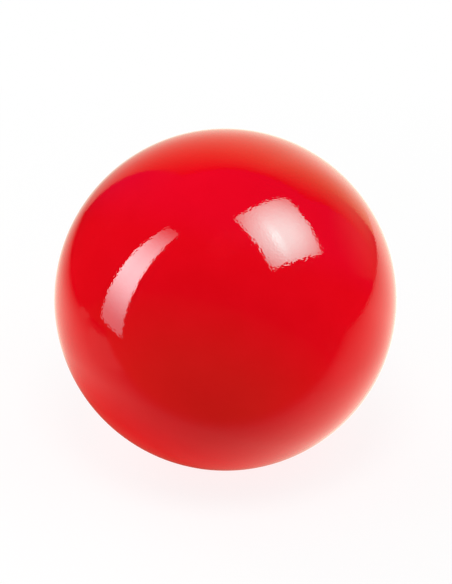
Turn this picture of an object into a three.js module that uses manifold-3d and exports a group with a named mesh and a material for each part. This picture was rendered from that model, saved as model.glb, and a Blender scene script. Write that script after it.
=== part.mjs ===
// A rhythmic gymnastics ball: a hollow rubber shell with a needle valve set in its wall.
// Millimetres, +Z up. The origin is on the floor under the ball's centre, and the valve faces +Y.
import * as THREE from "three";
import { mergeVertices, toCreasedNormals } from "three/addons/utils/BufferGeometryUtils.js";
import Module from "manifold-3d";

// Shell
const ballDiameter = 190;
const wallThickness = 3.1;
const contactFlatDepth = 0.6; // how far the ball's own weight presses it flat on the floor

// Clearances
const fitGap = 0.3; // between neighbouring pieces that are bonded or pushed together
const pinClearance = 0.15; // between the stopper's pin and the needle channel, all round

// Valve stopper: a flat head on a thin pin that fills the needle channel
const pinDiameter = 1.8;
const pinLength = 9;
const pinPointLength = 1.4;
const pinPointDiameter = 0.8;
const stopperHeadDiameter = 5;
const stopperHeadHeight = 0.9;
const stopperRecess = 0.15; // below the face of the core

// Valve core: the self-sealing rubber insert that grips a pump needle
const stemWall = 2;
const stemLength = 9;
const barbRise = 0.9;
const barbLand = 1;
const barbLength = 3;
const coreHeadWall = 1.4;
const coreHeadFloor = 1.2;
const coreRecess = 0.25; // below the rim of the boot
const pryNotchDiameter = 1.8;
const channelSpare = 1; // room under the tip of the pin
const lipLength = 6.5;
const lipEndDiameter = 3.8;
const slitBreadth = 2.6;
const slitWidth = 0.3;

// Valve boot: the flanged rubber housing that is cured to the inside of the shell
const rimWidth = 1.8;
const rimRecess = 0.3; // below the edge of the hole in the shell
const sleeveWall = 2.4;
const flangeWidth = 9.5;
const flangeThickness = 1.8;
const flangeEdgeThickness = 0.7;
const flangeSkiveWidth = 3;

// Facets
const ballFacetsAround = 64;
const ballFacetsUp = 32;
const valveFacets = 40;
const arcSteps = 4;

// Radii, from the stopper's pin outwards
const ballRadius = ballDiameter / 2;
const airRadius = ballRadius - wallThickness;
const pinRadius = pinDiameter / 2;
const channelRadius = pinRadius + pinClearance;
const stopperHeadRadius = stopperHeadDiameter / 2;
const stopperSeatRadius = stopperHeadRadius + fitGap;
const stemRadius = channelRadius + stemWall;
const barbRadius = stemRadius + barbRise;
const coreHeadRadius = stopperSeatRadius + coreHeadWall;
const counterboreRadius = coreHeadRadius + fitGap;
const stemBoreRadius = stemRadius + fitGap;
const sleeveRadius = stemBoreRadius + sleeveWall;
const neckRadius = counterboreRadius + rimWidth;
const valveHoleRadius = neckRadius + fitGap;
const flangeRadius = neckRadius + flangeWidth;
const flangeTopRadius = airRadius - fitGap; // the flange lies along the inside of the shell
const flangeUndersideRadius = flangeTopRadius - flangeThickness;

// Levels along the valve's axis, from the ball's centre outwards
const onSphere = (sphereRadius, radius) => Math.sqrt(sphereRadius ** 2 - radius ** 2);
const rimLevel = onSphere(ballRadius, valveHoleRadius) - rimRecess;
const coreFaceLevel = rimLevel - coreRecess;
const stopperFaceLevel = coreFaceLevel - stopperRecess;
const stopperHeadUnderside = stopperFaceLevel - stopperHeadHeight;
const pinTipLevel = stopperHeadUnderside - pinLength;
const stopperSeatLevel = stopperHeadUnderside - fitGap;
const coreHeadUnderside = stopperSeatLevel - coreHeadFloor;
const channelEndLevel = pinTipLevel - channelSpare;
const barbLevel = coreHeadUnderside - stemLength;
const lipEndLevel = Math.min(channelEndLevel, barbLevel - barbLength) - lipLength;
const counterboreLevel = coreHeadUnderside - fitGap;
const sleeveEndLevel = barbLevel + fitGap;

// Level of the floor below the ball's centre
const floorLevel = contactFlatDepth - ballRadius;

const wasm = await Module();
wasm.setup();

// A closed geometry as a solid that can be joined and cut.
function solidOf(geometry) {
  const bare = geometry.clone();
  bare.deleteAttribute("normal");
  bare.deleteAttribute("uv");
  const merged = mergeVertices(bare);
  return new wasm.Manifold(
    new wasm.Mesh({
      numProp: 3,
      vertProperties: merged.getAttribute("position").array,
      triVerts: new Uint32Array(merged.index.array),
    }),
  );
}

// A solid as a geometry, shaded smooth except at its sharp edges.
function geometryOf(solid) {
  const mesh = solid.getMesh();
  const geometry = new THREE.BufferGeometry();
  geometry.setAttribute("position", new THREE.BufferAttribute(mesh.vertProperties, 3));
  geometry.setIndex(new THREE.BufferAttribute(mesh.triVerts, 1));
  return toCreasedNormals(geometry, Math.PI / 6);
}

// An outline of radius and level, turned round the valve's axis.
function turned(outline) {
  return new THREE.LatheGeometry(outline.getPoints(arcSteps), valveFacets);
}

// A round ball about the origin, pressed flat at a level below it.
function flattenedBall(radius, flatLevel) {
  const round = solidOf(new THREE.SphereGeometry(radius, ballFacetsAround, ballFacetsUp));
  const pressedAway = new THREE.BoxGeometry(2 * radius, 2 * radius, radius);
  pressedAway.translate(0, 0, flatLevel - radius / 2);
  return round.subtract(solidOf(pressedAway));
}

// The wall keeps its thickness over the flat, and has one round hole for the valve.
function shellGeometry() {
  const outside = flattenedBall(ballRadius, floorLevel);
  const airSpace = flattenedBall(airRadius, floorLevel + wallThickness);
  const hole = new THREE.CylinderGeometry(valveHoleRadius, valveHoleRadius, ballRadius, valveFacets);
  hole.translate(0, ballRadius, 0);
  return geometryOf(outside.subtract(airSpace).subtract(solidOf(hole)));
}

// A neck that fills the hole, a flange along the inside of the shell and a sleeve for the core.
function bootGeometry() {
  const angleAt = (sphereRadius, radius) => Math.acos(radius / sphereRadius);
  const skiveRadius = flangeRadius - flangeSkiveWidth;
  const flangeEdgeLevel = onSphere(flangeTopRadius, flangeRadius) - flangeEdgeThickness;
  const outline = new THREE.Path();
  outline.moveTo(counterboreRadius, rimLevel);
  outline.lineTo(counterboreRadius, counterboreLevel);
  outline.lineTo(stemBoreRadius, counterboreLevel);
  outline.lineTo(stemBoreRadius, sleeveEndLevel);
  outline.lineTo(sleeveRadius, sleeveEndLevel);
  outline.absarc(
    0,
    0,
    flangeUndersideRadius,
    angleAt(flangeUndersideRadius, sleeveRadius),
    angleAt(flangeUndersideRadius, skiveRadius),
    true,
  );
  outline.lineTo(flangeRadius, flangeEdgeLevel);
  outline.absarc(
    0,
    0,
    flangeTopRadius,
    angleAt(flangeTopRadius, flangeRadius),
    angleAt(flangeTopRadius, neckRadius),
    false,
  );
  outline.lineTo(neckRadius, rimLevel);
  outline.lineTo(counterboreRadius, rimLevel);
  return turned(outline);
}

// A head with a seat for the stopper, a barbed stem, and two lips that a slit parts.
function coreGeometry() {
  const outline = new THREE.Path();
  outline.moveTo(0, lipEndLevel);
  outline.lineTo(lipEndDiameter / 2, lipEndLevel);
  outline.lineTo(stemRadius, barbLevel - barbLength);
  outline.lineTo(barbRadius, barbLevel - barbLand);
  outline.lineTo(barbRadius, barbLevel);
  outline.lineTo(stemRadius, barbLevel);
  outline.lineTo(stemRadius, coreHeadUnderside);
  outline.lineTo(coreHeadRadius, coreHeadUnderside);
  outline.lineTo(coreHeadRadius, coreFaceLevel);
  outline.lineTo(stopperSeatRadius, coreFaceLevel);
  outline.lineTo(stopperSeatRadius, stopperSeatLevel);
  outline.lineTo(channelRadius, stopperSeatLevel);
  outline.lineTo(channelRadius, channelEndLevel);
  outline.lineTo(0, channelEndLevel);

  // The slit runs from the needle channel to the end of the lips.
  const slitOverrun = slitWidth;
  const slitHeight = channelEndLevel - lipEndLevel + 2 * slitOverrun;
  const slit = new THREE.BoxGeometry(slitBreadth, slitHeight, slitWidth);
  slit.translate(0, (channelEndLevel + lipEndLevel) / 2, 0);

  // The notch lets a fingernail or a hook get under the stopper's head.
  const notchRadius = pryNotchDiameter / 2;
  const notchHeight = 2 * (coreFaceLevel - stopperSeatLevel);
  const notch = new THREE.CylinderGeometry(notchRadius, notchRadius, notchHeight, valveFacets);
  notch.translate(stopperSeatRadius, coreFaceLevel, 0);
  return geometryOf(solidOf(turned(outline)).subtract(solidOf(slit)).subtract(solidOf(notch)));
}

// A flat round head on a pin with a tapered point.
function stopperGeometry() {
  const outline = new THREE.Path();
  outline.moveTo(0, pinTipLevel);
  outline.lineTo(pinPointDiameter / 2, pinTipLevel);
  outline.lineTo(pinRadius, pinTipLevel + pinPointLength);
  outline.lineTo(pinRadius, stopperHeadUnderside);
  outline.lineTo(stopperHeadRadius, stopperHeadUnderside);
  outline.lineTo(stopperHeadRadius, stopperFaceLevel);
  outline.lineTo(0, stopperFaceLevel);
  return turned(outline);
}

function piece(name, geometry, material) {
  const mesh = new THREE.Mesh(geometry, material);
  mesh.name = name;
  return mesh;
}

// Materials
const glossyRedRubber = new THREE.MeshStandardMaterial({ color: 0xe30a18, roughness: 0.08, metalness: 0 });
const redRubber = new THREE.MeshStandardMaterial({ color: 0xb80d18, roughness: 0.45, metalness: 0 });
const darkRubber = new THREE.MeshStandardMaterial({ color: 0x25201f, roughness: 0.6, metalness: 0 });
const whitePlastic = new THREE.MeshStandardMaterial({ color: 0xe6e2da, roughness: 0.35, metalness: 0 });

// Everything is drawn about the ball's centre, and the ball then stands on its flat.
const ball = new THREE.Group();
ball.position.z = -floorLevel;
ball.add(piece("ball_shell", shellGeometry(), glossyRedRubber));
ball.add(piece("valve_boot", bootGeometry(), redRubber));
ball.add(piece("valve_core", coreGeometry(), darkRubber));
ball.add(piece("valve_stopper", stopperGeometry(), whitePlastic));

const gymnasticsBall = new THREE.Group();
gymnasticsBall.add(ball);

export default gymnasticsBall;
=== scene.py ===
"""The looks of a rhythmic gymnastics ball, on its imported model.

Metres, +Z up. The ball stands on the floor at the origin, and its valve faces +Y, away from the camera.
"""
import math

import bpy
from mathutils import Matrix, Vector


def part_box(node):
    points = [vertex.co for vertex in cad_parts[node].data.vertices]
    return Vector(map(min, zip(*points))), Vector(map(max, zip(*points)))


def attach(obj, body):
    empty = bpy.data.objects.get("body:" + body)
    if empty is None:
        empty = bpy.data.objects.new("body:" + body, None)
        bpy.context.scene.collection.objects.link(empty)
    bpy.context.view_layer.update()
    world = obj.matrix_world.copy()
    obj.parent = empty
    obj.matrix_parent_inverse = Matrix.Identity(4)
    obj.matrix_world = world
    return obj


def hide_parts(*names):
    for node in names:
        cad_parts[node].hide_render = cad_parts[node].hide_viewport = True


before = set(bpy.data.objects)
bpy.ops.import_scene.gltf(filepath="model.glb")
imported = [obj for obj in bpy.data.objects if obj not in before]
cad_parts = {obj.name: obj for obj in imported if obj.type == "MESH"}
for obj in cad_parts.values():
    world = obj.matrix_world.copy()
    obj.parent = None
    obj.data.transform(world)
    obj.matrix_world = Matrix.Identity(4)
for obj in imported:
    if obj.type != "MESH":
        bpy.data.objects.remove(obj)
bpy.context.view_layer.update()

# The ball's place and size, from the frame
shell_low, shell_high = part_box("ball_shell")
BALL_RADIUS = (shell_high.x - shell_low.x) / 2
BALL_CENTRE = Vector((0, shell_low.y + BALL_RADIUS, shell_high.z - BALL_RADIUS))
FLOOR_LEVEL = shell_low.z

# Sizes of the shell and the valve that the frame's boxes don't give
WALL = 0.0031
FIT_GAP = 0.0003
RIM_WIDTH = 0.0018
STEM_BORE_RADIUS = 0.00335
SLEEVE_WALL = 0.0024
FLANGE_THICKNESS = 0.0018
FLANGE_EDGE_THICKNESS = 0.0007
FLANGE_SKIVE_WIDTH = 0.003
CORE_HEAD_HEIGHT = 0.00255
STOPPER_SEAT_DEPTH = 0.00135
CHANNEL_RADIUS = 0.00105
CHANNEL_SPARE = 0.001
STEM_WALL = 0.002
STEM_LENGTH = 0.009
BARB_RISE = 0.0009
BARB_LAND = 0.001
BARB_LENGTH = 0.003
LIP_END_RADIUS = 0.0019
SLIT_BREADTH = 0.0026
SLIT_WIDTH = 0.0003
NOTCH_RADIUS = 0.0009
STOPPER_HEAD_HEIGHT = 0.0009
PIN_RADIUS = 0.0009
PIN_POINT_LENGTH = 0.0014
PIN_POINT_RADIUS = 0.0004

# Roundings of the moulded edges
HOLE_LIP_ROUNDING = 0.0005
FLAT_EDGE_ROUNDING = 0.00015
RUBBER_ROUNDING = 0.00022
CORE_ROUNDING = 0.00015
STOPPER_ROUNDING = 0.00022

# Steps of the turned meshes. The ball's steps get shorter towards the valve by an ease over 1, and a point
# nearer to the axis than ON_AXIS lies on it.
BALL_SEGMENTS = 256
BALL_STEPS = 180
BALL_EASE = 1.35
INSIDE_STEPS = 64
VALVE_SEGMENTS = 128
CORNER_STEPS = 6
ON_AXIS = 1e-9

# Finishes. Each varies between two colours and two roughnesses over a span of a noise, and the depth of
# the rubber's grain is a share of its wavelength.
LACQUER_COLOURS = ((0.77, 0.0012, 0.0072, 1), (0.80, 0.0016, 0.0088, 1))
LACQUER_ROUGHNESS = (0.025, 0.045)
LACQUER_IOR = 1.5
BOOT_COLOURS = ((0.36, 0.004, 0.008, 1), (0.46, 0.006, 0.012, 1))
BOOT_ROUGHNESS = (0.36, 0.48)
CORE_COLOURS = ((0.012, 0.010, 0.010, 1), (0.024, 0.020, 0.019, 1))
CORE_ROUGHNESS = (0.54, 0.66)
PLASTIC_COLOURS = ((0.74, 0.70, 0.62, 1), (0.80, 0.78, 0.72, 1))
PLASTIC_ROUGHNESS = (0.28, 0.4)
PLASTIC_IOR = 1.49
GRAIN_DEPTH = 0.1
NOISE_SPAN = (0.3, 0.7)

# Camera
VIEW_ELEVATION = math.radians(29.0)
CAMERA_DISTANCE = 1.6
LENS_MM = 177.4
AIM_RIGHT = 0.0003
AIM_UP = 0.0042

# Studio. Directions are (azimuth, elevation) in degrees from the ball's centre: azimuth 0 is away from the
# camera and 90 to the right. A fade is a pair of places, from dark to bright.
RIGHT = (1, 0, 0)
AWAY = (0, 1, 0)
UP = (0, 0, 1)
WARM_WHITE = (1.0, 1.0, 0.82, 1)

# Softboxes, with glows of (centre, radii, height) on a map of each that goes from 0 to 1
SQUARE_DISTANCE = 1.2
SQUARE_CORNERS = ((139, 42), (94, 30.5), (59, 54), (149, 80.5))
SQUARE_GLOWS = (
    ((0.47, 0.46), (0.92, 0.92), 14.5),
    ((0.35, 0.42), (0.13, 0.5), 4.0),
    ((0.35, 0.46), (0.06, 0.1), 4.0),
)
SQUARE_EDGE_LEVEL = 2.0
SQUARE_COLOUR = (0.28, 1.0, 0.97, 1)
STRIP_DISTANCE = 0.18
STRIP_CORNERS = ((233, 0), (248, 3.5), (235.5, 56), (221.5, 56.5))
EVEN_ACROSS = 50
STRIP_GLOWS = (
    ((0.5, 0.555), (EVEN_ACROSS, 0.49), 12.0),
    ((0.5, 0.08), (EVEN_ACROSS, 0.28), 1.7),
)
STRIP_EDGE_LEVEL = 0.9
STRIP_COLOUR = (0.65, 1.0, 1.05, 1)

# Lamps of (name, direction, size, watts)
LAMP_DISTANCE = 1.2
LAMPS = (
    ("top_lamp", (180, 65), (0.4, 0.4), 5.5),
    ("square_lamp", (115, 48), (0.7, 0.7), 2.5),
    ("strip_lamp", (250, 45), (0.3, 0.6), 1.0),
    ("wall_bounce", (315, 28), (0.9, 0.9), 5.0),
    ("left_bounce", (265, -30), (0.9, 0.9), 7.0),
    ("right_bounce", (95, -30), (0.9, 0.9), 8.5),
    ("left_table_bounce", (300, -55), (0.9, 0.9), 10.0),
    ("right_table_bounce", (60, -55), (0.9, 0.9), 6.0),
)

# Edges that the table and the wall behind it share
STAGE_RIGHT = 1.15
STAGE_BACK = 0.8

# Table, a glowing sheet that shows only in gloss: a painted reflection of a lit table, with front fades of
# (fade, rise), painted pools of light of (centre, radii, height) and painted patches of light of
# (span along X, span along Y, height)
TABLE_LEFT = -0.63
TABLE_FRONT = -0.2
TABLE_DROP = 0.001
TABLE_LEVEL = 1.36
TABLE_EDGE_FADE = (-0.145, -0.115)
TABLE_END_HEADING = (-1, 0.6, 0)
TABLE_END_FADE = (-0.65, -0.59)
TABLE_LEFT_FADE = (-0.575, 0.065)
TABLE_FRONT_FADES = (
    ((-0.16, -0.085), 0.42),
    ((-0.085, 0.11), 0.58),
)
TABLE_RIGHT_HEADING = (-0.83, 0.56, 0)
TABLE_RIGHT_FADE = (-0.65, -0.066)
TABLE_LIGHT_POOLS = (
    ((0.09, -0.01), (0.12, 0.12), 0.3),
    ((-0.2, 0.19), (0.25, 0.16), 0.2),
)
TABLE_LIGHT_PATCHES = (
    ((-0.44, -0.2), (-0.14, 0.0), 0.39),
    ((-0.62, -0.42), (0.02, 0.115), 0.28),
)
TABLE_PATCH_EDGE = 0.015
# The ball's painted shadow on the table's glow, dark and reddened near its centre
TABLE_SHADOW_CENTRE = (-0.052, 0, 0)
TABLE_SHADOW_FADE = (0.05, 0.115)
TABLE_SHADOW_COLOURS = (
    (0.0, (0.6, 0.15, 0.1, 1)),
    (0.4, (0.8, 0.38, 0.3, 1)),
    (1.0, WARM_WHITE),
)

# Side wall, a glowing sheet seen only in gloss: a painted reflection of a dimly lit wall
SIDE_FAR_END = (0.7, 0.77)
SIDE_NEAR_END = (0.92, 0.05)
SIDE_TOP = 0.62
SIDE_LEVEL_FADE = (0.0, 0.3)
SIDE_LEVELS = (0.1, 0.33)
SIDE_HEIGHT_FADE = (0.62, 0.05)
SIDE_HEADING = (0.473, -0.881, 0)
SIDE_RIGHT_FADE = (0.36, 0.02)
SIDE_CORNER_HEADING = (0.473, -0.881, -1.2)
SIDE_CORNER_FADE = (0.08, 0.04)

# Wall behind the table, a glowing sheet seen only in gloss: a painted reflection of a lit wall, yellower
# where dimmer
WALL_LEFT = -0.495
WALL_TOP = 1.32
WALL_LEVEL = 1.43
WALL_LEFT_HEADING = (1, 0, -0.12)
WALL_LEFT_FADE = (-0.77, 0.26)
WALL_RIGHT_FADE = (1.15, 0.37)
WALL_TOP_FADE = (1.32, 0.15)
WALL_LIGHT_COLOURS = (
    (0.4, (1.0, 1.0, 0.48, 1)),
    (1.0, (1.0, 1.0, 0.8, 1)),
)

# Room, a dome that shows only in gloss with a painted reflection of the dark room, with colours of
# (reach along the heading in radii, colour)
ROOM_RADIUS = 4.0
ROOM_HEADING = (-0.27, -0.64, -0.72)
ROOM_GLOW_COLOURS = (
    (-0.62, (0.01, 0.01, 0.145, 1)),
    (-0.33, (0.01, 0.01, 0.01, 1)),
    (0.23, (0.022, 0.022, 0.005, 1)),
    (0.28, (0.05, 0.05, 0.01, 1)),
    (0.85, (0.18, 0.185, 0.045, 1)),
    (1.0, (0.165, 0.165, 0.04, 1)),
)

# Floor and surround. The floor is white in an oval, a painted pool of light, and its far fade is in radii
# of that oval.
FLOOR_HALF_WIDTH = 6.0
FLOOR_SHADE = 0.15
FLOOR_SHADE_FADE = (0.2, 0.5)
FLOOR_WHITE = 0.97
OVAL_CENTRE = (0, 0.22, 0)
OVAL_RADII = (0.32, 0.53, 1)
FAR_FADE = (1.7, 1.0)
FAR_LEVEL = 0.65
FILL_LEVEL = 0.43


def direction(azimuth, elevation):
    """The unit vector towards a direction in degrees."""
    turn = math.radians(azimuth)
    rise = math.radians(elevation)
    return Vector((math.sin(turn) * math.cos(rise), math.cos(turn) * math.cos(rise), math.sin(rise)))


def added(name, data):
    """A new object in the scene, for a mesh, a light or a camera."""
    made = bpy.data.objects.new(name, data)
    bpy.context.scene.collection.objects.link(made)
    return made


# Outlines of (radius, level), from the valve's axis and from the ball's centre along that axis


def on_sphere(sphere_radius, radius):
    """The level of a sphere about the ball's centre at a radius from the valve's axis."""
    return math.sqrt(sphere_radius**2 - radius**2)


def arc(centre, radius, start, end, steps, ease=1.0):
    """Points of an arc between two angles, which are from the level's axis towards the radius."""
    points = []
    for step in range(steps + 1):
        angle = end + (start - end) * (1 - step / steps) ** ease
        points.append(Vector((centre[0] + radius * math.sin(angle), centre[1] + radius * math.cos(angle))))
    return points


def along_sphere(sphere_radius, start, end):
    """Corners of an outline along a sphere between two radii, without the first."""
    steps = 2 * CORNER_STEPS
    radii = [start + (end - start) * step / steps for step in range(1, steps + 1)]
    return [(radius, on_sphere(sphere_radius, radius), 0) for radius in radii]


def with_round_corners(corners):
    """The outline through corners of (radius, level, rounding), with an arc at each rounded one."""
    outline = []
    for index, (radius, level, rounding) in enumerate(corners):
        here = Vector((radius, level))
        if rounding == 0:
            outline.append(here)
            continue
        before = corners[index - 1]
        after = corners[(index + 1) % len(corners)]
        to_before = (Vector(before[:2]) - here).normalized()
        to_after = (Vector(after[:2]) - here).normalized()
        half = to_before.angle(to_after) / 2
        centre = here + (to_before + to_after).normalized() * rounding / math.sin(half)
        first = here + to_before * rounding / math.tan(half) - centre
        last = here + to_after * rounding / math.tan(half) - centre
        for step in range(CORNER_STEPS + 1):
            outline.append(centre + rounding * first.slerp(last, step / CORNER_STEPS).normalized())
    return outline


# Meshes


def smooth(name, points, faces):
    """A new mesh object, shaded smooth."""
    mesh = bpy.data.meshes.new(name)
    mesh.from_pydata(points, [], faces)
    mesh.update()
    mesh.shade_smooth()
    return added(name, mesh)


def turned(name, outline, segments, closed):
    """An outline turned round the valve's axis. An open one starts and ends on the axis."""
    points = []
    rings = []
    for radius, level in outline:
        around = 1 if radius < ON_AXIS else segments
        rings.append(range(len(points), len(points) + around))
        for segment in range(around):
            turn = 2 * math.pi * segment / segments
            offset = Vector((radius * math.sin(turn), level, radius * math.cos(turn)))
            points.append(BALL_CENTRE + offset)
    faces = []
    pairs = list(zip(rings, rings[1:]))
    if closed:
        pairs.append((rings[-1], rings[0]))
    for ring, following in pairs:
        for segment in range(segments):
            after = (segment + 1) % segments
            corners = [ring[segment % len(ring)], ring[after % len(ring)]]
            corners += [following[after % len(following)], following[segment % len(following)]]
            faces.append(list(dict.fromkeys(corners)))
    return smooth(name, points, faces)


def turned_corners(name, corners, closed, segments=VALVE_SEGMENTS):
    """Corners of (radius, level, rounding) turned round the valve's axis."""
    return turned(name, with_round_corners(corners), segments, closed)


def block(name, middle, size):
    """A plain block, to cut with."""
    corners = [(x, y, z) for x in (-0.5, 0.5) for y in (-0.5, 0.5) for z in (-0.5, 0.5)]
    points = [middle + Vector((x * size.x, y * size.y, z * size.z)) for x, y, z in corners]
    faces = [(0, 1, 3, 2), (4, 6, 7, 5), (0, 4, 5, 1), (2, 3, 7, 6), (0, 2, 6, 4), (1, 5, 7, 3)]
    return smooth(name, points, faces)


def cut_away(piece, cutter):
    """Cuts one object out of a piece's mesh, and removes the cutter."""
    cut = piece.modifiers.new("cut", "BOOLEAN")
    cut.operation = "DIFFERENCE"
    cut.solver = "MANIFOLD"
    cut.object = cutter
    keep_modified(piece)
    bpy.data.objects.remove(cutter)


def keep_modified(piece):
    """Makes what a piece's modifiers give its own mesh."""
    bpy.context.view_layer.update()
    modified = piece.evaluated_get(bpy.context.evaluated_depsgraph_get())
    piece.data = bpy.data.meshes.new_from_object(modified)
    piece.modifiers.clear()


def flat_shading_kept(piece):
    """Keeps the flat stretches of a turned piece flat in the light beside its rounded edges."""
    piece.modifiers.new("flat_shading", "WEIGHTED_NORMAL")


def soft_max(value, limit, rounding):
    """The larger of two values, with a rounded change from one to the other."""
    over = value - limit
    return limit + (over + math.sqrt(over**2 + rounding**2)) / 2


# Pieces


def make_shell():
    """The hollow ball, with a rounded lip at the valve's hole and a flat where it stands."""
    inside = BALL_RADIUS - WALL
    hole = boot_neck_radius() + FIT_GAP
    lip_radius = hole + HOLE_LIP_ROUNDING
    lip_level = on_sphere(BALL_RADIUS - HOLE_LIP_ROUNDING, lip_radius)
    inner_lip_level = on_sphere(inside + HOLE_LIP_ROUNDING, lip_radius)
    lip_angle = math.atan2(lip_radius, lip_level)
    inner_lip_angle = math.atan2(lip_radius, inner_lip_level)
    towards_axis = -math.pi / 2
    lip_steps = 2 * CORNER_STEPS
    outline = arc((0, 0), BALL_RADIUS, math.pi, lip_angle, BALL_STEPS, BALL_EASE)
    outline += arc((lip_radius, lip_level), HOLE_LIP_ROUNDING, lip_angle, towards_axis, lip_steps)[1:]
    outline += arc(
        (lip_radius, inner_lip_level),
        HOLE_LIP_ROUNDING,
        towards_axis,
        inner_lip_angle - math.pi,
        lip_steps,
    )
    outline += arc((0, 0), inside, math.pi, inner_lip_angle, INSIDE_STEPS, BALL_EASE)[-2::-1]
    for end in (outline[0], outline[-1]):
        end.x = 0
    shell = turned("ball_skin", outline, BALL_SEGMENTS, closed=False)

    # The wall keeps its thickness over the flat.
    middle = BALL_RADIUS - WALL / 2
    for vertex in shell.data.vertices:
        outer = (vertex.co - BALL_CENTRE).length > middle
        level = FLOOR_LEVEL if outer else FLOOR_LEVEL + WALL
        vertex.co.z = soft_max(vertex.co.z, level, FLAT_EDGE_ROUNDING)
    return shell


def boot_neck_radius():
    """The radius of the boot's neck, which fills the hole in the shell."""
    _, core_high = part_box("valve_core")
    return core_high.x + FIT_GAP + RIM_WIDTH


def make_boot():
    """The valve's rubber housing: a neck in the shell's hole, a flange along its inside and a sleeve."""
    low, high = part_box("valve_boot")
    _, core_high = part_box("valve_core")
    sleeve_end = low.y - BALL_CENTRE.y
    rim = high.y - BALL_CENTRE.y
    flange = high.x
    neck = boot_neck_radius()
    counterbore = neck - RIM_WIDTH
    counterbore_level = core_high.y - BALL_CENTRE.y - CORE_HEAD_HEIGHT - FIT_GAP
    sleeve = STEM_BORE_RADIUS + SLEEVE_WALL
    flange_top = BALL_RADIUS - WALL - FIT_GAP
    underside = flange_top - FLANGE_THICKNESS
    skive = flange - FLANGE_SKIVE_WIDTH
    edge_level = on_sphere(flange_top, flange)
    corners = [
        (counterbore, rim, RUBBER_ROUNDING),
        (counterbore, counterbore_level, RUBBER_ROUNDING),
        (STEM_BORE_RADIUS, counterbore_level, RUBBER_ROUNDING),
        (STEM_BORE_RADIUS, sleeve_end, RUBBER_ROUNDING),
        (sleeve, sleeve_end, RUBBER_ROUNDING),
        (sleeve, on_sphere(underside, sleeve), 2 * RUBBER_ROUNDING),
    ]
    corners += along_sphere(underside, sleeve, skive)
    corners += [
        (flange, edge_level - FLANGE_EDGE_THICKNESS, RUBBER_ROUNDING),
        (flange, edge_level, RUBBER_ROUNDING),
    ]
    corners += along_sphere(flange_top, flange, neck)[:-1]
    corners += [
        (neck, on_sphere(flange_top, neck), RUBBER_ROUNDING),
        (neck, rim, RUBBER_ROUNDING),
    ]
    return turned_corners("valve_housing", corners, closed=True)


def make_core():
    """The valve's rubber core: a head with a seat for the stopper, a barbed stem and two slit lips."""
    low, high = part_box("valve_core")
    stopper_low, stopper_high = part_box("valve_stopper")
    lip_end = low.y - BALL_CENTRE.y
    face = high.y - BALL_CENTRE.y
    head = high.x
    seat = stopper_high.x + FIT_GAP
    seat_level = face - STOPPER_SEAT_DEPTH
    head_underside = face - CORE_HEAD_HEIGHT
    channel_end = stopper_low.y - BALL_CENTRE.y - CHANNEL_SPARE
    stem = CHANNEL_RADIUS + STEM_WALL
    barb_level = head_underside - STEM_LENGTH
    corners = [
        (0, lip_end, 0),
        (LIP_END_RADIUS, lip_end, CORE_ROUNDING),
        (stem, barb_level - BARB_LENGTH, CORE_ROUNDING),
        (stem + BARB_RISE, barb_level - BARB_LAND, CORE_ROUNDING),
        (stem + BARB_RISE, barb_level, CORE_ROUNDING),
        (stem, barb_level, CORE_ROUNDING),
        (stem, head_underside, CORE_ROUNDING),
        (head, head_underside, CORE_ROUNDING),
        (head, face, 2 * CORE_ROUNDING),
        (seat, face, CORE_ROUNDING),
        (seat, seat_level, CORE_ROUNDING),
        (CHANNEL_RADIUS, seat_level, CORE_ROUNDING),
        (CHANNEL_RADIUS, channel_end, CORE_ROUNDING),
        (0, channel_end, 0),
    ]
    core = turned_corners("valve_insert", corners, closed=False)

    # The slit runs from the needle channel to the end of the lips.
    overrun = SLIT_WIDTH
    slit_middle = Vector((0, (channel_end + lip_end) / 2, 0))
    slit_size = Vector((SLIT_BREADTH, channel_end - lip_end + 2 * overrun, SLIT_WIDTH))
    cut_away(core, block("slit", BALL_CENTRE + slit_middle, slit_size))

    # The notch lets a fingernail or a hook get under the stopper's head.
    notch_corners = [
        (0, seat_level, 0),
        (NOTCH_RADIUS, seat_level, 2 * CORE_ROUNDING),
        (NOTCH_RADIUS, face + overrun, 0),
        (0, face + overrun, 0),
    ]
    notch = turned_corners("notch", notch_corners, closed=False, segments=VALVE_SEGMENTS // 2)
    notch.location.x = seat
    cut_away(core, notch)
    return core


def make_stopper():
    """The pin that closes the valve: a flat round head and a tapered point."""
    low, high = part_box("valve_stopper")
    tip = low.y - BALL_CENTRE.y
    face = high.y - BALL_CENTRE.y
    head = high.x
    underside = face - STOPPER_HEAD_HEIGHT
    corners = [
        (0, tip, 0),
        (PIN_POINT_RADIUS, tip, PIN_POINT_RADIUS / 2),
        (PIN_RADIUS, tip + PIN_POINT_LENGTH, STOPPER_ROUNDING),
        (PIN_RADIUS, underside, STOPPER_ROUNDING),
        (head, underside, STOPPER_ROUNDING),
        (head, face, STOPPER_ROUNDING),
        (0, face, 0),
    ]
    return turned_corners("stopper_pin", corners, closed=False)


# Shader nodes


def feed(tree, socket, value):
    """Gives a socket a value, or a link from another node's socket."""
    if isinstance(value, bpy.types.NodeSocket):
        tree.links.new(value, socket)
    else:
        socket.default_value = value


def node(tree, kind, **inputs):
    """A new node with its inputs, whose names have _ for a space."""
    made = tree.nodes.new(kind)
    for name, value in inputs.items():
        feed(tree, made.inputs[name.replace("_", " ")], value)
    return made


def noise(tree, wavelength, detail):
    """A cloudy pattern in the object's own space, from 0 to 1, whose features are a wavelength apart."""
    place = tree.nodes.new("ShaderNodeTexCoord").outputs["Object"]
    pattern = node(tree, "ShaderNodeTexNoise", Vector=place, Scale=1 / wavelength, Detail=detail)
    return pattern.outputs["Fac"]


def position(tree):
    """Where a point of a surface is in the studio."""
    return tree.nodes.new("ShaderNodeNewGeometry").outputs["Position"]


def along(tree, place, heading):
    """How far a place lies along a heading."""
    reach = tree.nodes.new("ShaderNodeVectorMath")
    reach.operation = "DOT_PRODUCT"
    feed(tree, reach.inputs[0], place)
    feed(tree, reach.inputs[1], heading)
    return reach.outputs["Value"]


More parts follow.
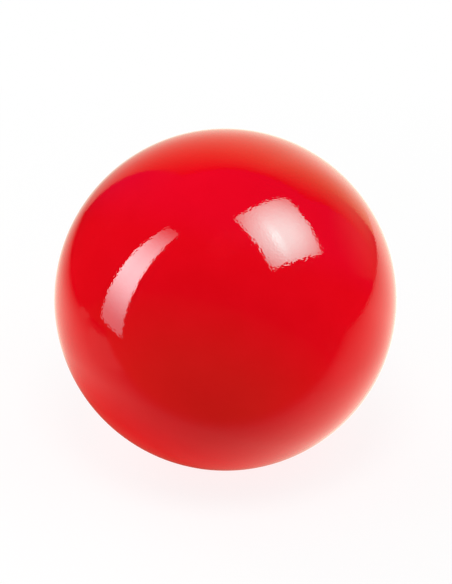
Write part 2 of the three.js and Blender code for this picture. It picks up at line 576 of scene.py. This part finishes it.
def apart(tree, place, centre=(0, 0, 0), radii=(1, 1, 1)):
    """How far a place lies from a centre, in radii of their own along each axis."""
    offset = node(tree, "ShaderNodeMapping", Vector=place, Location=centre, Scale=radii)
    offset.vector_type = "TEXTURE"
    distance = tree.nodes.new("ShaderNodeVectorMath")
    distance.operation = "LENGTH"
    feed(tree, distance.inputs[0], offset.outputs["Vector"])
    return distance.outputs["Value"]


def fade(tree, value, ends, levels=(0, 1), smooth_ends=False):
    """A change between two levels as a value goes from one end to the other."""
    change = node(
        tree,
        "ShaderNodeMapRange",
        Value=value,
        From_Min=ends[0],
        From_Max=ends[1],
        To_Min=levels[0],
        To_Max=levels[1],
    )
    if smooth_ends:
        change.interpolation_type = "SMOOTHSTEP"
    return change.outputs["Result"]


def ramp(tree, share, stops):
    """A change through colours, given as stops of (share, colour)."""
    made = node(tree, "ShaderNodeValToRGB", Fac=share)
    elements = made.color_ramp.elements
    while len(elements) < len(stops):
        elements.new(1)
    for element, (place, colour) in zip(elements, stops):
        element.position = place
        element.color = colour
    return made.outputs["Color"]


def bump(tree, pattern, height, under=None):
    """A bumpy normal from a pattern of a real height, over another normal if there is one."""
    made = node(tree, "ShaderNodeBump", Height=pattern, Strength=1.0, Distance=height)
    if under is not None:
        feed(tree, made.inputs["Normal"], under)
    return made.outputs["Normal"]


def combined(tree, operation, first, second):
    """Two values or sockets, put together by a mathematical operation."""
    made = tree.nodes.new("ShaderNodeMath")
    made.operation = operation
    feed(tree, made.inputs[0], first)
    feed(tree, made.inputs[1], second)
    return made.outputs["Value"]


def product(tree, level, fades):
    """A level times each of its fades."""
    for factor in fades:
        level = combined(tree, "MULTIPLY", level, factor)
    return level


def with_glows(tree, place, level, glows):
    """A level with soft round glows of (centre, radii, height) on it."""
    for centre, radii, height in glows:
        distance = apart(tree, place, (*centre, 0), (*radii, 1))
        near = fade(tree, distance, (1, 0), (0, height), smooth_ends=True)
        level = combined(tree, "ADD", level, near)
    return level


def patch(tree, place, spans, level):
    """A level inside a soft-edged rectangle, given as its spans along X and Y."""
    fades = []
    for heading, (start, end) in zip((RIGHT, AWAY), spans):
        reach = along(tree, place, heading)
        fades.append(fade(tree, reach, (start - TABLE_PATCH_EDGE, start + TABLE_PATCH_EDGE)))
        fades.append(fade(tree, reach, (end + TABLE_PATCH_EDGE, end - TABLE_PATCH_EDGE)))
    return product(tree, level, fades)


def shown_over(tree, share, under, over):
    """Makes a material show one shader over another by a share."""
    mix = node(tree, "ShaderNodeMixShader", Fac=share)
    feed(tree, mix.inputs[1], under)
    feed(tree, mix.inputs[2], over)
    feed(tree, tree.nodes["Material Output"].inputs["Surface"], mix.outputs["Shader"])


def clear_where(tree, glow, share):
    """Lets what is behind a shining surface show where its share is below 1."""
    clear = tree.nodes.new("ShaderNodeBsdfTransparent")
    shown_over(tree, share, clear.outputs["BSDF"], glow.outputs["Emission"])


# Materials


def surface(name):
    """A new material with its node tree and its shader node."""
    material = bpy.data.materials.new(name)
    material.use_nodes = True
    return material, material.node_tree, material.node_tree.nodes["Principled BSDF"]


def clouded(name, colours, roughness, cloud, haze):
    """A new surface whose colour and roughness vary, in clouds and in haze of a wavelength each."""
    material, tree, shader = surface(name)
    clouds = noise(tree, wavelength=cloud, detail=3)
    feed(tree, shader.inputs["Base Color"], ramp(tree, clouds, list(zip(NOISE_SPAN, colours))))
    sheen = fade(tree, noise(tree, wavelength=haze, detail=2), NOISE_SPAN, roughness)
    feed(tree, shader.inputs["Roughness"], sheen)
    return material, tree, shader


def shell_lacquer():
    """Glossy red lacquer on rubber: a faint cloudiness, orange peel and a slow waviness."""
    material, tree, shader = clouded(
        "glossy_red_lacquer", LACQUER_COLOURS, LACQUER_ROUGHNESS, cloud=0.02, haze=0.008
    )
    shader.inputs["IOR"].default_value = LACQUER_IOR
    waviness = bump(tree, noise(tree, wavelength=0.012, detail=0), height=0.00002)
    peel = bump(tree, noise(tree, wavelength=0.0012, detail=0), height=0.00003, under=waviness)
    feed(tree, shader.inputs["Normal"], peel)
    return material


def rubber(name, colours, roughness, grain):
    """Moulded rubber: a grain of a real size, with a slightly uneven colour and sheen."""
    material, tree, shader = clouded(name, colours, roughness, cloud=0.003, haze=0.0015)
    grains = bump(tree, noise(tree, wavelength=grain, detail=2), height=GRAIN_DEPTH * grain)
    feed(tree, shader.inputs["Normal"], grains)
    return material


def moulded_plastic():
    """Off-white plastic with a satin sheen, a little yellowed in places."""
    material, tree, shader = clouded(
        "off_white_plastic", PLASTIC_COLOURS, PLASTIC_ROUGHNESS, cloud=0.002, haze=0.0008
    )
    shader.inputs["IOR"].default_value = PLASTIC_IOR
    grains = bump(tree, noise(tree, wavelength=0.0004, detail=2), height=0.000006)
    feed(tree, shader.inputs["Normal"], grains)
    return material


def dress(piece, body, cad_node, material):
    """Gives a piece its material and its body, and hides the imported part that it stands for."""
    piece.data.materials.clear()
    piece.data.materials.append(material)
    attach(piece, body)
    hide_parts(cad_node)


# Studio


def glowing(name):
    """A new material that only shines, with its node tree and its emission node."""
    material, tree, shader = surface(name)
    tree.nodes.remove(shader)
    glow = tree.nodes.new("ShaderNodeEmission")
    feed(tree, tree.nodes["Material Output"].inputs["Surface"], glow.outputs["Emission"])
    return material, tree, glow


def only_mirrored(piece, material):
    """Makes an object of the studio that shows in gloss and nowhere else."""
    piece.data.materials.append(material)
    piece.visible_camera = False
    piece.visible_diffuse = False
    piece.visible_transmission = False
    piece.visible_shadow = False


def rectangle(left, right, low, high):
    """The corners of a rectangle, in the order that a sheet takes them."""
    return (left, low), (right, low), (right, high), (left, high)


def sheet(name, corners):
    """A four-cornered sheet, with its corners at those of a map that goes from 0 to 1."""
    mesh = bpy.data.meshes.new(name)
    mesh.from_pydata(corners, [], [(0, 1, 2, 3)])
    places = mesh.uv_layers.new(name="sheet").data
    for corner, place in enumerate(rectangle(0, 1, 0, 1)):
        places[corner].uv = place
    return added(name, mesh)


def make_softbox(name, distance, corners, glows, edge_level, colour):
    """The shining face of a studio light, with soft glows on an even one."""
    places = [BALL_CENTRE + distance * direction(*corner) for corner in corners]
    material, tree, glow = glowing(name)
    glow.inputs["Color"].default_value = colour
    place = tree.nodes.new("ShaderNodeTexCoord").outputs["UV"]
    feed(tree, glow.inputs["Strength"], with_glows(tree, place, edge_level, glows))
    only_mirrored(sheet(name, places), material)


def make_table():
    """The white table under the ball: a glowing sheet seen only in gloss, a painted reflection of a lit
    table with painted light and the ball's painted shadow, which the ball reddens.
    """
    material, tree, glow = glowing("table_glow")
    place = position(tree)
    forwards = along(tree, place, AWAY)
    # The glow's strength is painted light: it fades towards the table's edges and has pools and patches of
    # light.
    front = 0.0
    for ends, rise in TABLE_FRONT_FADES:
        front = combined(tree, "ADD", front, fade(tree, forwards, ends, (0, rise)))
    fades = (
        fade(tree, along(tree, place, RIGHT), TABLE_LEFT_FADE),
        front,
        fade(tree, along(tree, place, TABLE_RIGHT_HEADING), TABLE_RIGHT_FADE),
    )
    strength = with_glows(tree, place, product(tree, TABLE_LEVEL, fades), TABLE_LIGHT_POOLS)
    for *spans, height in TABLE_LIGHT_PATCHES:
        strength = combined(tree, "MAXIMUM", strength, patch(tree, place, spans, height))
    feed(tree, glow.inputs["Strength"], strength)
    # The ball's painted shadow, reddened: the glow's colour darkens towards the shadow's centre.
    lit = fade(tree, apart(tree, place, TABLE_SHADOW_CENTRE), TABLE_SHADOW_FADE)
    feed(tree, glow.inputs["Color"], ramp(tree, lit, TABLE_SHADOW_COLOURS))
    edges = (
        fade(tree, forwards, TABLE_EDGE_FADE),
        fade(tree, along(tree, place, TABLE_END_HEADING), TABLE_END_FADE),
    )
    clear_where(tree, glow, product(tree, 1.0, edges))
    level = FLOOR_LEVEL - TABLE_DROP
    corners = rectangle(TABLE_LEFT, STAGE_RIGHT, TABLE_FRONT, STAGE_BACK)
    only_mirrored(sheet("table", [Vector((x, y, level)) for x, y in corners]), material)


def make_side_wall():
    """The dim wall to the right of the table: a glowing sheet seen only in gloss, a painted reflection
    whose light fades towards its top and its near end.
    """
    corners = [Vector((*SIDE_FAR_END, FLOOR_LEVEL)), Vector((*SIDE_NEAR_END, FLOOR_LEVEL))]
    corners += [Vector((*SIDE_NEAR_END, SIDE_TOP)), Vector((*SIDE_FAR_END, SIDE_TOP))]
    material, tree, glow = glowing("side_wall_glow")
    place = position(tree)
    height = along(tree, place, UP)
    glow.inputs["Color"].default_value = WARM_WHITE
    feed(tree, glow.inputs["Strength"], fade(tree, height, SIDE_LEVEL_FADE, SIDE_LEVELS))
    fades = (
        fade(tree, height, SIDE_HEIGHT_FADE),
        fade(tree, along(tree, place, SIDE_HEADING), SIDE_RIGHT_FADE),
        fade(tree, along(tree, place, SIDE_CORNER_HEADING), SIDE_CORNER_FADE),
    )
    clear_where(tree, glow, product(tree, 1.0, fades))
    only_mirrored(sheet("side_wall", corners), material)


def make_wall():
    """The white wall behind the table: a glowing sheet seen only in gloss, a painted reflection of a lit
    wall whose light fades to both sides and towards its top, yellower where dim.
    """
    material, tree, glow = glowing("wall_glow")
    place = position(tree)
    # Painted light: the glow fades to the sides and the top, and is yellower where it is dimmer.
    lit = (
        fade(tree, along(tree, place, UP), WALL_TOP_FADE),
        fade(tree, along(tree, place, RIGHT), WALL_RIGHT_FADE),
    )
    fades = (fade(tree, along(tree, place, WALL_LEFT_HEADING), WALL_LEFT_FADE), *lit)
    feed(tree, glow.inputs["Color"], ramp(tree, product(tree, 1.0, lit), WALL_LIGHT_COLOURS))
    feed(tree, glow.inputs["Strength"], product(tree, WALL_LEVEL, fades))
    corners = rectangle(WALL_LEFT, STAGE_RIGHT, FLOOR_LEVEL, WALL_TOP)
    only_mirrored(sheet("wall", [Vector((x, STAGE_BACK, z)) for x, z in corners]), material)


def make_room():
    """The dark room round the studio: a glowing dome seen only in gloss, a painted reflection of the unlit
    room, a little lighter at its floor and bluish at its ceiling.
    """
    bpy.ops.mesh.primitive_uv_sphere_add(radius=ROOM_RADIUS)
    room = bpy.context.object
    room.name = "room"
    material, tree, glow = glowing("room_glow")
    share = fade(tree, along(tree, position(tree), ROOM_HEADING), (-ROOM_RADIUS, ROOM_RADIUS))
    stops = [((reach + 1) / 2, colour) for reach, colour in ROOM_GLOW_COLOURS]
    feed(tree, glow.inputs["Color"], ramp(tree, share, stops))
    only_mirrored(room, material)


def make_floor():
    """The pale floor: for the camera a painted pool of white light in an oval, with the ball's soft
    shadow, and grey far off.
    """
    reach = FLOOR_HALF_WIDTH
    corners = rectangle(-reach, reach, -reach, reach)
    floor = sheet("floor", [Vector((x, y, FLOOR_LEVEL)) for x, y in corners])
    material, tree, glow = glowing("pale_floor")
    paint = node(tree, "ShaderNodeBsdfDiffuse", Color=(FLOOR_WHITE, FLOOR_WHITE, FLOOR_WHITE, 1))
    seen = tree.nodes.new("ShaderNodeLightPath").outputs["Is Camera Ray"]
    place = position(tree)
    # The glow's white oval, falling to grey far off, is a painted pool of light.
    outwards = apart(tree, place, OVAL_CENTRE, OVAL_RADII)
    level = fade(tree, outwards, FAR_FADE, (FAR_LEVEL, 1), smooth_ends=True)
    feed(tree, glow.inputs["Strength"], level)
    white = fade(tree, apart(tree, place), FLOOR_SHADE_FADE, (1 - FLOOR_SHADE, 1))
    shown_over(tree, product(tree, white, [seen]), paint.outputs["BSDF"], glow.outputs["Emission"])
    floor.data.materials.append(material)
    floor.visible_diffuse = False
    floor.visible_glossy = False
    floor.visible_shadow = False


def make_world():
    """The grey of the far floor where the camera looks past it, and a plain fill light for the rest."""
    world = bpy.data.worlds.new("pale_surround")
    bpy.context.scene.world = world
    world.use_nodes = True
    tree = world.node_tree
    background = tree.nodes["Background"]
    background.inputs["Color"].default_value = (1, 1, 1, 1)
    rays = tree.nodes.new("ShaderNodeLightPath")
    seen = rays.outputs["Is Camera Ray"]
    for kind in ("Is Glossy Ray", "Is Transmission Ray"):
        seen = combined(tree, "MAXIMUM", seen, rays.outputs[kind])
    feed(tree, background.inputs["Strength"], fade(tree, seen, (0, 1), (FILL_LEVEL, FAR_LEVEL)))


def make_lamps():
    """The soft lamps that light the ball, and that its gloss doesn't show.

    The bounces stand for the light that the table and the wall throw back.
    """
    for name, towards, size, energy in LAMPS:
        light = bpy.data.lights.new(name, "AREA")
        light.shape = "RECTANGLE"
        light.size, light.size_y = size
        light.energy = energy
        lamp = added(name, light)
        out = direction(*towards)
        lamp.location = BALL_CENTRE + LAMP_DISTANCE * out
        lamp.rotation_euler = out.to_track_quat("Z", "Y").to_euler()
        lamp.visible_camera = False
        lamp.visible_glossy = False


def make_camera():
    """The camera at the photograph's angle."""
    camera = added("camera", bpy.data.cameras.new("camera"))
    camera.data.lens = LENS_MM
    back = Vector((0, -math.cos(VIEW_ELEVATION), math.sin(VIEW_ELEVATION)))
    turn = back.to_track_quat("Z", "Y")
    aim = BALL_CENTRE + turn @ Vector((AIM_RIGHT, AIM_UP, 0))
    camera.location = aim + back * CAMERA_DISTANCE
    camera.rotation_euler = turn.to_euler()
    bpy.context.scene.camera = camera


make_camera()
make_world()
make_floor()
make_room()
make_table()
make_wall()
make_side_wall()
make_softbox(
    "square_softbox", SQUARE_DISTANCE, SQUARE_CORNERS, SQUARE_GLOWS, SQUARE_EDGE_LEVEL, SQUARE_COLOUR
)
make_softbox(
    "strip_softbox", STRIP_DISTANCE, STRIP_CORNERS, STRIP_GLOWS, STRIP_EDGE_LEVEL, STRIP_COLOUR
)
make_lamps()

shell_piece = make_shell()
boot_piece = make_boot()
core_piece = make_core()
stopper_piece = make_stopper()
for small_piece in (boot_piece, core_piece, stopper_piece):
    flat_shading_kept(small_piece)

red_rubber = rubber("red_rubber", BOOT_COLOURS, BOOT_ROUGHNESS, grain=0.0003)
dark_rubber = rubber("dark_rubber", CORE_COLOURS, CORE_ROUGHNESS, grain=0.0002)
dress(shell_piece, "ball", "ball_shell", shell_lacquer())
dress(boot_piece, "ball", "valve_boot", red_rubber)
dress(core_piece, "ball", "valve_core", dark_rubber)
dress(stopper_piece, "stopper", "valve_stopper", moulded_plastic())

bpy.context.scene.view_settings.view_transform = "Standard"
